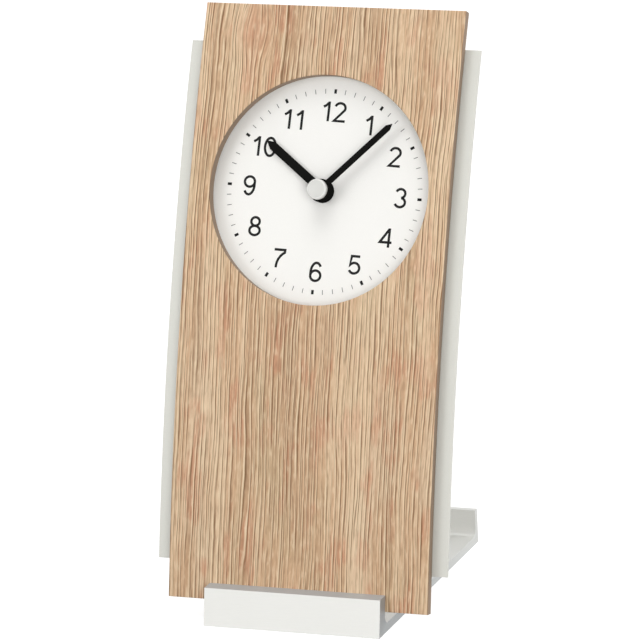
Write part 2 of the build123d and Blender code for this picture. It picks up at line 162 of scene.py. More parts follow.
# Oak veneer: upright pores, each a dark line with a painted highlight line on its left, raised a little in
# the bump, over slow zones of tone
veneer = {
    "base": (204, 167, 132),
    "zones": ((191, 163, 128), (212, 182, 150)),
    "zonesPerMm": (0.07, 1, 0.012),
    "blush": (197, 143, 111),
    "blushPerMm": (0.14, 1, 0.05),
    "blushFrom": (0.51, 0.64),
    "blushShare": 0.8,
    "pore": (118, 84, 52),
    # Pale tone: used for pale streaks, and for the painted highlight line beside each pore
    "paleToneAndPaintedHighlight": (240, 217, 183),
    "edge": (150, 130, 111),
    "edgeOther": (144, 124, 106),
    "back": (176, 142, 108),
    # Sideways moves of the lines: per mm across and along, reach in mm, seat of the noise
    "moves": (
        ((0.03, 0.01), 3.0, 0),
        ((0.1, 0.04), 0.45, 3),
        ((0.4, 0.16), 0.12, 6),
        ((0.2, 0.004), 1.6, 9),
    ),
    # Two sets of lines: lines in one spacing, lowest life that shows, seat
    "spacing": 1.6,
    "lines": (1.0, 0.36, 0.0),
    "moreLines": (1.5, 0.42, 31.4),
    "moreBend": ((0.15, 0.02), 1.5, 20),
    "lifePerMm": 0.045,
    "lifeStep": 5.3,
    "lifeSpan": 0.22,
    "faintest": 0.08,
    "poreAt": 0.8,
    "poreReach": 0.2,
    "paleToneAndPaintedHighlightAt": 0.54,
    "paleToneAndPaintedHighlightReach": 0.17,
    # Streaks: per mm across and along, octaves, roughness, reach, share of the light and of the dark tone
    "streaks": (
        ((0.08, 0.004), 3.0, 0.75, 0.09, 0.35, 0.22),
        ((1.3, 0.2), 2.0, 0.5, 0.2, 0.45, 0.28),
    ),
    "figureAt": (-28.5, 194.5),
    "figureReach": (10.0, 15.0),
    "figurePart": 0.6,
    "figureBlush": 0.85,
    "figureFade": 0.6,
    "roughness": 0.52,
    "poreRoughness": 0.67,
    "relief": 0.03,
    "reliefStrength": 0.5,
    "highlightRidgeRise": 0.5,
}


def veneerFinish(tilt):
    finish, tree, shader = newFinish("oakVeneer", veneer["base"], veneer["roughness"], specular=0.3)
    flat = stretched(tree, turnedCoords(tree, tilt), (1, 0, 1))
    along = axisOf(tree, flat, 2)

    def shift(perMm, reach, seat):
        offset = vectorCalc(tree, "ADD", flat, (0, seat, 0))
        level = noise(tree, stretched(tree, offset, (perMm[0], 1, perMm[1])))
        return spread(tree, level, 0.0, 1.0, -reach, reach, "LINEAR")

    # Slow sweeps, short waves and jitter carry the lines sideways; the last move spreads their spacing
    place = axisOf(tree, flat, 0)
    for move in veneer["moves"]:
        place = calc(tree, "ADD", place, shift(*move))

    # A figure near the top left, where the lines part round a redder spot
    spot = Matrix.Rotation(tilt, 3, "X") @ bent(*veneer["figureAt"], 0) / mm
    offset = vectorCalc(tree, "SUBTRACT", flat, (spot.x, 0, spot.z))
    reachX, reachZ = veneer["figureReach"]
    near = stretched(tree, offset, (1 / reachX, 1, 1 / reachZ))
    figure = spread(tree, vectorCalc(tree, "LENGTH", near, result="Value"), 0.0, 1.0, 1.0, 0.0)
    parted = calc(tree, "MULTIPLY", axisOf(tree, offset, 0), figure)
    place = calc(tree, "SUBTRACT", place, calc(tree, "MULTIPLY", parted, veneer["figurePart"]))
    calm = spread(tree, figure, 0.0, 1.0, 1.0, 1.0 - veneer["figureFade"])

    def lineSet(count, lowest, seat, bend=0.0):
        lane = calc(tree, "DIVIDE", calc(tree, "ADD", place, bend), veneer["spacing"])
        lane = calc(tree, "ADD", calc(tree, "MULTIPLY", lane, count), seat)
        number = calc(tree, "MULTIPLY", calc(tree, "FLOOR", lane), veneer["lifeStep"])
        inside = calc(tree, "FRACT", lane)
        own = combined(tree, number, seat, calc(tree, "MULTIPLY", along, veneer["lifePerMm"]))
        strength = spread(
            tree, noise(tree, own, 3.0), lowest, lowest + veneer["lifeSpan"], veneer["faintest"], 1.0
        )
        strength = calc(tree, "MULTIPLY", strength, calm)
        marks = []
        # Each pore is a dark line; the line beside it is a painted highlight
        for kind in ("pore", "paleToneAndPaintedHighlight"):
            away = calc(tree, "ABSOLUTE", calc(tree, "SUBTRACT", inside, veneer[kind + "At"]))
            mark = spread(tree, away, 0.0, veneer[kind + "Reach"] * count, 1.0, 0.0)
            marks.append(calc(tree, "MULTIPLY", mark, strength))
        return marks

    pores, paintedHighlightRidges = lineSet(*veneer["lines"])
    morePores, morePaintedHighlightRidges = lineSet(*veneer["moreLines"], shift(*veneer["moreBend"]))

    wavy = combined(tree, x=place, z=along)
    yellow, pale = (linear(tone) for tone in veneer["zones"])
    base, blush, paleToneAndPaintedHighlight, pore = (linear(veneer[key]) for key in ("base", "blush", "paleToneAndPaintedHighlight", "pore"))
    zones = noise(tree, stretched(tree, wavy, veneer["zonesPerMm"]), 2.0)
    tone = mixed(tree, spread(tree, zones, 0.3, 0.5, 1.0, 0.0), base, yellow)
    tone = mixed(tree, spread(tree, zones, 0.5, 0.68), tone, pale)
    patches = noise(tree, stretched(tree, wavy, veneer["blushPerMm"]), 2.0)
    tone = mixed(tree, spread(tree, patches, *veneer["blushFrom"], 0.0, veneer["blushShare"]), tone, blush)
    tone = mixed(tree, calc(tree, "MULTIPLY", figure, veneer["figureBlush"]), tone, blush)
    for perMm, octaves, roughness, reach, light, dark in veneer["streaks"]:
        level = noise(tree, stretched(tree, wavy, (perMm[0], 1, perMm[1])), octaves, roughness)
        tone = mixed(tree, spread(tree, level, 0.5, 0.5 + reach, 0.0, light), tone, paleToneAndPaintedHighlight)
        tone = mixed(tree, spread(tree, level, 0.5 - reach, 0.5, dark, 0.0), tone, pore)
    # Pores darken the tone; the lines beside them are painted highlights
    marks = ((morePaintedHighlightRidges, 0.65, paleToneAndPaintedHighlight), (morePores, 0.7, pore), (paintedHighlightRidges, 0.8, paleToneAndPaintedHighlight), (pores, 0.9, pore))
    for mark, share, colour in marks:
        tone = mixed(tree, calc(tree, "MULTIPLY", mark, share), tone, colour)
    gloss = spread(tree, pores, 0.0, 1.0, veneer["roughness"], veneer["poreRoughness"])
    height = calc(tree, "SUBTRACT", calc(tree, "MULTIPLY", paintedHighlightRidges, veneer["highlightRidgeRise"]), pores)
    tree.links.new(tone, shader.inputs["Base Color"])
    tree.links.new(gloss, shader.inputs["Roughness"])
    addBump(tree, shader, height, veneer["relief"], veneer["reliefStrength"])
    return finish


# Mesh helpers
quarter = [radians(a) for a in (0, 30, 60, 90)]


def toMesh(name, bm):
    bmesh.ops.recalc_face_normals(bm, faces=bm.faces)
    mesh = bpy.data.meshes.new(name)
    bm.to_mesh(mesh)
    bm.free()
    return mesh


def addPiece(name, mesh, body, finishes, stands=(), sharp=35.0):
    piece = bpy.data.objects.new(name, mesh)
    bpy.context.scene.collection.objects.link(piece)
    if not mesh.materials:
        for finish in finishes:
            mesh.materials.append(finish)
    mesh.shade_smooth()
    mesh.set_sharp_from_angle(angle=radians(sharp))
    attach(piece, body)
    if stands:
        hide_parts(*stands)
    return piece


def addBevel(piece, width, segments=2, angle=32.0):
    bevel = piece.modifiers.new("edges", "BEVEL")
    bevel.width = width * mm
    bevel.segments = segments
    bevel.limit_method = "ANGLE"
    bevel.angle_limit = radians(angle)
    bevel.harden_normals = True
    return piece


# A copy of a CAD node with its triangles joined into plain faces
def nodeCopy(node):
    bm = bmesh.new()
    bm.from_mesh(frame["nodes"][node].data)
    bmesh.ops.remove_doubles(bm, verts=bm.verts, dist=0.002 * mm)
    bmesh.ops.dissolve_limit(bm, angle_limit=radians(0.5), verts=bm.verts, edges=bm.edges)
    return bm


def softened(node, body, finish, width, segments=2):
    piece = addPiece(node + ".soft", toMesh(node, nodeCopy(node)), body, [finish], [node])
    return addBevel(piece, width, segments)


# Solid of revolution about the dial's z axis from (radius, height) points, ends on the axis
def turned(bm, profile, steps=96, at=(0.0, 0.0)):
    rings = []
    for radius, height in profile:
        count = steps if radius else 1
        ring = [2 * pi * i / count for i in range(count)]
        rings.append([bm.verts.new((at[0] + radius * cos(a), at[1] + radius * sin(a), height)) for a in ring])
    for lower, upper in zip(rings, rings[1:]):
        for i in range(steps):
            corners = [lower[i % len(lower)], lower[(i + 1) % len(lower)]]
            corners += [upper[(i + 1) % len(upper)], upper[i % len(upper)]]
            bm.faces.new(list(dict.fromkeys(corners)))


# Band of even width along a line in the dial's plane, with square ends
def ribbon(bm, points, width, low, high, closed=False):
    count = len(points)
    sections = []
    for i, (x, y) in enumerate(points):
        runs = []
        for a, b in ((i - 1, i), (i, i + 1)):
            if closed or (a >= 0 and b < count):
                start, end = points[a % count], points[b % count]
                runs.append(Vector((end[0] - start[0], end[1] - start[1])).normalized())
        along = sum(runs, Vector((0, 0))).normalized()
        reach = width / 2 / max(along.dot(runs[0]), 0.45)
        side = Vector((-along.y, along.x)) * reach
        corners = ((side, low), (-side, low), (-side, high), (side, high))
        sections.append([bm.verts.new((x + s.x, y + s.y, z)) for s, z in corners])
    pairs = list(zip(sections, sections[1:]))
    if closed:
        pairs.append((sections[-1], sections[0]))
    else:
        bm.faces.new(sections[0])
        bm.faces.new(sections[-1][::-1])
    for first, second in pairs:
        for k in range(4):
            bm.faces.new((first[k], first[(k + 1) % 4], second[(k + 1) % 4], second[k]))


def plate(bm, points, low, high):
    lower = [bm.verts.new((x, y, low)) for x, y in points]
    upper = [bm.verts.new((x, y, high)) for x, y in points]
    bm.faces.new(lower[::-1])
    bm.faces.new(upper)
    for i in range(len(points)):
        k = (i + 1) % len(points)
        bm.faces.new((lower[i], lower[k], upper[k], upper[i]))


# Bent panel and the sheet behind it
panel = {
    "width": 93.5,
    "length": 204.1,
    "thickness": 4.1,
    "bendRadius": 793.0,
    "lean": 11.4,
    "lift": 7.25,
    "lipThickness": 5.3,
    "seatGap": 0.02,
    "openingRadius": 39.3,
    "dialDrop": 63.0,
    "frontRound": 0.3,
    "backRound": 0.8,
    "openingRound": 0.25,
}
sheet = {
    "width": 104.4,
    "margin": 12.6,
    "thickness": 0.8,
    "holeMargin": 1.0,
    "edgeRound": 0.12,
    "colour": (212, 212, 205),
    "other": (209, 209, 202),
}

lean = radians(panel["lean"])
bendRadius = panel["bendRadius"]
panelFront = footFront + panel["lipThickness"] + panel["lift"] * tan(lean) + panel["seatGap"]
bendY = panelFront + bendRadius * cos(lean)
bendZ = panel["lift"] - bendRadius * sin(lean)
dialRise = panel["length"] - panel["dialDrop"]
panelTilt = lean + panel["length"] / 2 / bendRadius
sheetBack = panel["thickness"] + sheet["thickness"]


def bent(x, rise, depth):
    angle = lean + rise / bendRadius
    reach = bendRadius - depth
    return Vector((x, bendY - reach * cos(angle), bendZ + reach * sin(angle))) * mm


# Loops run round the opening: up its front edge, over the front, round the outer edge and back inside
def bentSheet(name, width, low, high, front, back, hole, rounds, samples=144, rings=18):
    frontRound, backRound, holeRound = rounds
    support, clear = 0.4, 0.35
    half, below, above = width / 2, low - dialRise, high - dialRise
    corners = [atan2(y, x) % (2 * pi) for x in (-half, half) for y in (below, above)]
    step = 2 * pi / samples
    evenly = [step * (i + 0.5) for i in range(samples)]  # those too near a corner are left out
    angles = sorted([a for a in evenly if min(abs(a - c) for c in corners) > clear * step] + corners)

    def circle(radius, depth):
        up = [asin(radius * sin(a) / (bendRadius - depth)) * bendRadius for a in angles]
        return [(radius * cos(a), u, depth) for a, u in zip(angles, up)]

    def border(inset, depth):
        loop = []
        for a in angles:
            c, s = cos(a), sin(a)
            reach = min(half / abs(c) if c else inf, (above if s > 0 else below) / s if s else inf)
            x = max(min(reach * c, half - inset), inset - half)
            loop.append((x, max(min(reach * s, above - inset), below + inset), depth))
        return loop

    def between(first, second):
        shares = [i / rings for i in range(1, rings)]
        return [[tuple(p + (q - p) * t for p, q in zip(a, b)) for a, b in zip(first, second)] for t in shares]

    inner, outer = circle(hole + holeRound + support, front), border(frontRound + support, front)
    farInner, farOuter = circle(hole + holeRound + support, back), border(backRound + support, back)
    loops = [circle(hole + holeRound * (1 - cos(a)), front + holeRound * (1 - sin(a))) for a in quarter]
    loops += [inner, *between(inner, outer), outer]
    loops += [border(frontRound * (1 - sin(a)), front + frontRound * (1 - cos(a))) for a in quarter]
    faceEnd = len(loops) - 1
    loops += [border(backRound * (1 - cos(a)), back - backRound * (1 - sin(a))) for a in quarter]
    edgeEnd = len(loops) - 1
    loops += [farOuter, *between(farOuter, farInner), farInner]
    loops += [circle(hole + holeRound * (1 - cos(a)), back - holeRound * (1 - sin(a))) for a in quarter[::-1]]
    backEnd = len(loops) - 1

    bm = bmesh.new()
    grid = [[bm.verts.new(bent(x, dialRise + up, depth)) for x, up, depth in loop] for loop in loops]
    for i, loop in enumerate(grid):
        after = grid[(i + 1) % len(grid)]
        kind = 0 if i < faceEnd else 1 if i < edgeEnd else 2 if i < backEnd else 1
        for j in range(len(loop)):
            k = (j + 1) % len(loop)
            bm.faces.new((loop[j], loop[k], after[k], after[j])).material_index = kind
    return toMesh(name, bm)


edgeFinish = grained(
    "veneerEdge", veneer["edge"], veneer["edgeOther"], 0.6, specular=0.2, perMm=(3, 3, 3), depth=0.004
)
backFinish = grained("panelBack", veneer["back"], veneer["edge"], 0.65, perMm=(1.6, 0.02, 0.04), depth=0.02)
rounds = (panel["frontRound"], panel["backRound"], panel["openingRound"])
woodMesh = bentSheet(
    "panel", panel["width"], 0.0, panel["length"], 0.0, panel["thickness"], panel["openingRadius"], rounds
)
woodFinishes = [veneerFinish(panelTilt), edgeFinish, backFinish]
addPiece("front_panel.wood", woodMesh, "stand", woodFinishes, ["front_panel"])

silverFinish = grained(
    "silverSheet", sheet["colour"], sheet["other"], 0.5, 0.2, 0.3, perMm=(3, 3, 3), depth=0.003
)
sheetEdges = (sheet["margin"], panel["length"] - sheet["margin"])
sheetHole = panel["openingRadius"] + sheet["holeMargin"]
sheetMesh = bentSheet(
    "sheet", sheet["width"], *sheetEdges, panel["thickness"], sheetBack, sheetHole, (sheet["edgeRound"],) * 3
)
addPiece("back_plate.sheet", sheetMesh, "stand", [silverFinish] * 3, ["back_plate"])
print("panel and sheet bent")

# Foot: satin aluminium with fine lines along its length
foot = {
    "bevel": 0.22,
    "colour": (226, 226, 222),
    "other": (224, 224, 220),
    "roughness": 0.45,
    "metallic": 0.3,
    # Sawn end faces: painted shade, darkest at the front where the panel shades them, lighter towards the
    # back
    "cutPaintedShadeFront": (166, 169, 170),
    "cutPaintedShadeBack": (206, 207, 204),
    "cutPaintedShadeSpan": (-35.0, 45.0),
    "lipHeight": 12.8,
    # Top of the front rim: a darker, cooler tone, painted shade
    "lipTopPaintedShade": (184, 188, 191),
    "lipTopPaintedShadeOther": (180, 184, 187),
    "linesPerMm": (0.3, 6, 6),
}
footFinish = grained(
    "satinAluminium", foot["colour"], foot["other"], foot["roughness"], foot["metallic"],
    perMm=foot["linesPerMm"], depth=0.001,
)
lipTopShadeFinish = grained(
    "lipTopPaintedShade", foot["lipTopPaintedShade"], foot["lipTopPaintedShadeOther"], 0.5, foot["metallic"], perMm=foot["linesPerMm"], depth=0.002
)


# Sawn end faces with painted shade: darker than the other faces, and darkest towards the front, where the
# panel shades them
def cutFinish():
    finish, tree, shader = newFinish("cutAluminium", foot["cutPaintedShadeFront"], 0.5, foot["metallic"])
    coords = turnedCoords(tree, 0.0)
    lines = noise(tree, stretched(tree, coords, (6, 0.3, 6)), 3.0)
    # Painted shade: darkest at the front, lighter towards the back
    share = spread(tree, axisOf(tree, coords, 1), *foot["cutPaintedShadeSpan"])
    share = calc(tree, "ADD", share, spread(tree, lines, 0.3, 0.7, -0.04, 0.04), True)
    tone = mixed(tree, share, linear(foot["cutPaintedShadeFront"]), linear(foot["cutPaintedShadeBack"]))
    tree.links.new(tone, shader.inputs["Base Color"])
    addBump(tree, shader, lines, 0.002)
    return finish


footPiece = softened("foot_bracket", "stand", footFinish, foot["bevel"], 3)
footPiece.data.materials.append(cutFinish())
footPiece.data.materials.append(lipTopShadeFinish)
lipLevel = 0.9 * foot["lipHeight"] * mm
for face in footPiece.data.polygons:
    # End faces get the sawn finish with painted shade
    ends = abs(face.normal.x) > 0.9
    # Upward faces high at the front get the darker, cooler tone: painted shade
    shadedLipTop = face.normal.z > 0.9 and face.center.z > lipLevel and face.center.y < 0
    face.material_index = 1 if ends else 2 if shadedLipTop else 0
print("foot softened")

# Dial plate and its print
dial = {
    "colour": (246, 245, 241),
    "other": (243, 242, 238),
    "back": (196, 197, 195),
    "backOther": (186, 187, 186),
    "bevel": 0.15,
    "printTurn": -2.07,
    "inkHeight": 0.03,
    "ink": (36, 36, 36),
    "inkOther": (36, 36, 35),
    "minuteInk": (92, 92, 91),
    "minuteOther": (104, 104, 102),
    "tickRadius": 34.37,
    "hourTick": (1.5, 0.92),
    "minuteTick": (1.6, 0.22),
    "numeralRadius": 27.4,
    "numeralShift": 0.25,
    "numeralHeight": 6.75,
    "numeralStroke": 0.87,
    "numeralAdvance": 0.65,
    "numeralWidth": 0.67,
    "numeralStretch": 1.25,
}
dialFinish = grained("dialLacquer", dial["colour"], dial["other"], 0.55, perMm=(4, 4, 4), depth=0.003)
dialBackFinish = grained(
    "dialBack", dial["back"], dial["backOther"], 0.45, 0.8, perMm=(0.1, 5, 5), depth=0.004
)
dialPiece = softened("dial", "stand", dialFinish, dial["bevel"])
dialPiece.data.materials.append(dialBackFinish)
for face in dialPiece.data.polygons:
    face.material_index = 1 if face.normal.dot(backward) > 0.5 else 0


# Ticks: a ring of flat bars, each along its radius
def tickTree():
    tree = bpy.data.node_groups.new("dialTicks", "GeometryNodeTree")
    tree.interface.new_socket("Geometry", in_out="OUTPUT", socket_type="NodeSocketGeometry")
    sockets = (
        ("Count", "Int"), ("Skip", "Int"), ("Radius", "Float"), ("Length", "Float"),
        ("Width", "Float"), ("Height", "Float"), ("Ink", "Material"),
    )
    for name, kind in sockets:
        tree.interface.new_socket(name, in_out="INPUT", socket_type="NodeSocket" + kind)
    given = addNode(tree, "NodeGroupInput").outputs
    ring = addNode(tree, "GeometryNodeMeshCircle", {"Vertices": given["Count"], "Radius": given["Radius"]})
    size = combined(tree, given["Length"], given["Width"], given["Height"])
    bar = addNode(tree, "GeometryNodeMeshCube", {"Size": size})
    index = addNode(tree, "GeometryNodeInputIndex").outputs[0]
    share = calc(tree, "DIVIDE", index, given["Count"])
    turn = combined(tree, z=calc(tree, "MULTIPLY", share, 2 * pi))
    chosen = calc(tree, "GREATER_THAN", calc(tree, "MODULO", index, given["Skip"]), 0.5)
    keepAll = calc(tree, "LESS_THAN", given["Skip"], 0.5)
    spots = {
        "Points": ring.outputs[0], "Instance": bar.outputs[0], "Rotation": turn,
        "Selection": calc(tree, "MAXIMUM", chosen, keepAll),
    }
    bars = addNode(tree, "GeometryNodeInstanceOnPoints", spots)
    real = addNode(tree, "GeometryNodeRealizeInstances", {0: bars.outputs[0]})
    inked = addNode(tree, "GeometryNodeSetMaterial", {"Geometry": real.outputs[0], "Material": given["Ink"]})
    addNode(tree, "NodeGroupOutput", {0: inked.outputs[0]})
    return tree


# Runs a tree on a mesh with its named inputs and returns the plain mesh
def runTree(tree, base, values):
    holder = bpy.data.objects.new("holder", base)
    bpy.context.scene.collection.objects.link(holder)
    modifier = holder.modifiers.new("nodes", "NODES")
    modifier.node_group = tree
    for item in tree.interface.items_tree:
        if item.in_out == "INPUT" and item.name in values:
            modifier[item.identifier] = values[item.name]
    graph = bpy.context.evaluated_depsgraph_get()
    mesh = bpy.data.meshes.new_from_object(holder.evaluated_get(graph))
    holder.modifiers.remove(modifier)
    bpy.data.objects.remove(holder)
    return mesh


inkFinish = grained(
    "printInk", dial["ink"], dial["inkOther"], 0.6, specular=0.1, perMm=(6, 6, 6), depth=0.002
)
minuteFinish = grained(
    "minuteInk", dial["minuteInk"], dial["minuteOther"], 0.6, specular=0.1, perMm=(6, 6, 6), depth=0.002
)
printTurn = Matrix.Rotation(radians(dial["printTurn"]), 4, "Z")
ticks = tickTree()
for name, count, skip, size, finish in (
    ("dial.hour_ticks", 12, 0, dial["hourTick"], inkFinish),
    ("dial.minute_ticks", 60, 5, dial["minuteTick"], minuteFinish),
):
    values = {
        "Count": count, "Skip": skip, "Radius": dial["tickRadius"], "Length": size[0], "Width": size[1],
        "Height": 2 * dial["inkHeight"], "Ink": finish,
    }
    mesh = runTree(ticks, bpy.data.meshes.new(name), values)
    mesh.transform(dialFrame @ printTurn)
    addPiece(name, mesh, "stand", [finish])


# Numerals as pen strokes in a box one unit high
def arc(cx, cy, rx, ry, start, end):
    steps = max(4, round(abs(end - start) / 10))
    turns = [radians(start + (end - start) * i / steps) for i in range(steps + 1)]
    return [(cx + rx * cos(a), cy + ry * sin(a)) for a in turns]


sixStroke = arc(0.285, 0.48, 0.225, 0.475, 38, 180) + arc(0.275, 0.305, 0.215, 0.26, 180, 530)
digitStrokes = {
    "0": [arc(0.27, 0.5, 0.225, 0.455, 0, 360)],
    "1": [[(0.30, 0.0), (0.30, 1.0)], [(0.07, 0.72), (0.19, 0.81), (0.27, 0.93)]],
    "2": [arc(0.265, 0.715, 0.215, 0.24, 165, -28) + [(0.04, 0.045), (0.51, 0.045)]],
    "3": [arc(0.25, 0.73, 0.19, 0.225, 160, -80), arc(0.25, 0.28, 0.215, 0.235, 80, -160)],
    "4": [[(0.40, 0.0), (0.40, 0.97)], [(0.39, 0.93), (0.03, 0.255), (0.53, 0.255)]],
    "5": [[(0.47, 0.91), (0.12, 0.91)] + arc(0.26, 0.31, 0.22, 0.265, 148, -155)],
    "6": [sixStroke],
    "7": [[(0.04, 0.91), (0.50, 0.91)] + arc(0.86, 0.06, 0.69, 0.85, 122, 184)],
    "8": [arc(0.27, 0.735, 0.18, 0.215, 0, 360), arc(0.27, 0.28, 0.22, 0.235, 0, 360)],
    "9": [[(0.54 - x, 1.0 - y) for x, y in sixStroke]],
}


def numeralMesh():
    bm = bmesh.new()
    height = dial["numeralHeight"]
    stretch = height * dial["numeralStretch"]
    for hour in range(1, 13):
        turn = radians(90 - 30 * hour)
        label = str(hour)
        wide = dial["numeralAdvance"] * (len(label) - 1) + dial["numeralWidth"]
        for place, digit in enumerate(label):
            centre = dial["numeralShift"] + dial["numeralRadius"] * cos(turn)
            left = centre + (place * dial["numeralAdvance"] - wide / 2) * height
            bottom = dial["numeralRadius"] * sin(turn) - height / 2
            for stroke in digitStrokes[digit]:
                closed = hypot(stroke[0][0] - stroke[-1][0], stroke[0][1] - stroke[-1][1]) < 1e-6
                points = [(left + x * stretch, bottom + y * height) for x, y in stroke]
                ends = (-dial["inkHeight"], dial["inkHeight"])
                ribbon(bm, points[:-1] if closed else points, dial["numeralStroke"], *ends, closed)
    mesh = toMesh("numerals", bm)
    mesh.transform(dialFrame @ printTurn)
    return mesh


addPiece("dial.numerals", numeralMesh(), "stand", [inkFinish])
print("dial printed")

# Hands and cap, heights above the dial's face
hands = {
    "hour": {
        "length": 27.2, "half": 1.5, "tip": 2.8, "angle": 307.4,
        "base": 0.8, "height": 3.0, "bore": 2.4, "boss": 4.0, "crown": 0.25,
    },
    "minute": {
        "length": 33.7, "half": 1.06, "tip": 2.0, "angle": 45.6,
        "base": 4.1, "height": 2.3, "bore": 1.5, "boss": 3.7, "crown": 0.5,
    },
    "bossRound": 0.25,
    "bladeLift": 0.2,
    "bladeThickness": 0.5,
    "bladeBevel": 0.08,
    "bladeRoot": 0.8,
    "colour": (27, 27, 26),
    "other": (23, 23, 22),
}
cap = {
    "radius": 3.5,
    "base": 6.4,
    "height": 1.8,
    "bevel": 0.5,
    "lowBevel": 0.1,
    "edge": (0.06, 0.03),
    "colour": (203, 203, 199),
    # Chamfer: polished, and its lighter tone is a painted highlight
    "chamferPaintedHighlight": (232, 232, 229),
    "chamferPaintedHighlightOther": (228, 228, 225),
    "ringsPerMm": 7.0,
}
handFinish = grained(
    "handBlack", hands["colour"], hands["other"], 0.6, specular=0.0, perMm=(3, 3, 3), depth=0.003
)


# Fine turned rings about the axis
def capFinish():
    finish, tree, shader = newFinish("capSatin", cap["colour"], 0.5, 0.3)
    flat = stretched(tree, dialCoords(tree), (1, 1, 0))
    radius = vectorCalc(tree, "LENGTH", flat, result="Value")
    rings = noise(tree, combined(tree, calc(tree, "MULTIPLY", radius, cap["ringsPerMm"])))
    tree.links.new(spread(tree, rings, 0.3, 0.7, 0.45, 0.55), shader.inputs["Roughness"])
    addBump(tree, shader, rings, 0.004)
    return finish


def roundedBoss(radius, bore, base, top, edge, crown):
    lower = [(radius - edge * (1 - sin(a)), base + edge * (1 - cos(a))) for a in quarter]
    upper = [(radius - crown * (1 - cos(a)), top - crown * (1 - sin(a))) for a in quarter]
    return [(bore, base), *lower, *upper, (bore, top), (bore, base)]


def handPiece(name, body, node):
    size = hands[name]
    bm = bmesh.new()
    ends = (size["base"], size["base"] + size["height"])
    turned(bm, roundedBoss(size["boss"], size["bore"], *ends, hands["bossRound"], size["crown"]))
    bmesh.ops.remove_doubles(bm, verts=bm.verts, dist=1e-4)
    boss = toMesh(name + "Boss", bm)
    boss.transform(dialFrame)
    addPiece(node + ".boss", boss, body, [handFinish], [node])
    bm = bmesh.new()
    half, shoulder = size["half"], size["length"] - size["tip"]
    start = size["boss"] * hands["bladeRoot"]
    outline = [(-half, start), (half, start), (half, shoulder), (0, size["length"]), (-half, shoulder)]
    base = size["base"] + hands["bladeLift"]
    plate(bm, outline, base, base + hands["bladeThickness"])
    blade = toMesh(name + "Blade", bm)
    blade.transform(dialFrame @ Matrix.Rotation(radians(-size["angle"]), 4, "Z"))
    addBevel(addPiece(node + ".blade", blade, body, [handFinish]), hands["bladeBevel"])


handPiece("hour", "hour_work", "hour_hand")
handPiece("minute", "minute_work", "minute_hand")
bm = bmesh.new()
top = cap["base"] + cap["height"]
shoulder = cap["radius"] - cap["bevel"]
outward, inward = cap["edge"]
capProfile = [
    (0, cap["base"]), (cap["radius"] - cap["lowBevel"], cap["base"]),
    (cap["radius"], cap["base"] + cap["lowBevel"]), (cap["radius"], top - cap["bevel"]),
    (shoulder + outward, top - inward), (shoulder - inward, top), (0, top),
]
turned(bm, capProfile)
capMesh = toMesh("cap", bm)
# Chamfer faces get the lighter, shinier finish: a polished edge with a painted highlight
for face in capMesh.polygons:
    face.material_index = 1 if 0.3 < face.normal.z < 0.95 else 0
capMesh.transform(dialFrame)
chamferHighlightFinish = grained("capBevel", cap["chamferPaintedHighlight"], cap["chamferPaintedHighlightOther"], 0.35, 0.3, perMm=(5, 5, 5), depth=0.002)
capFinishes = [capFinish(), chamferHighlightFinish]
addPiece("hub_cap.turned", capMesh, "minute_work", capFinishes, ["hub_cap"], 25.0)
print("hands set")

# Screws: pan heads with a cross recess, placed on the seats along the panel and the dial
screws = {
    "shank": 0.9,
    "head": 1.9,
    "headHeight": 1.2,
    "headTaper": 0.78,
    "recess": (2.3, 0.5, 0.6),
    "footSpread": 40.0,
    "footRise": 2.83,
    "footSeat": 4.12,
    "footLength": 7.72,
    "plateSpread": 84.0,
    "plateRises": (24.0, 84.0),
    "plateSeat": 4.92,
    "plateLength": 3.42,
    "dialInset": 4.0,
    "dialSize": (88.0, 86.0, 1.0),
    "dialLength": 5.59,
}


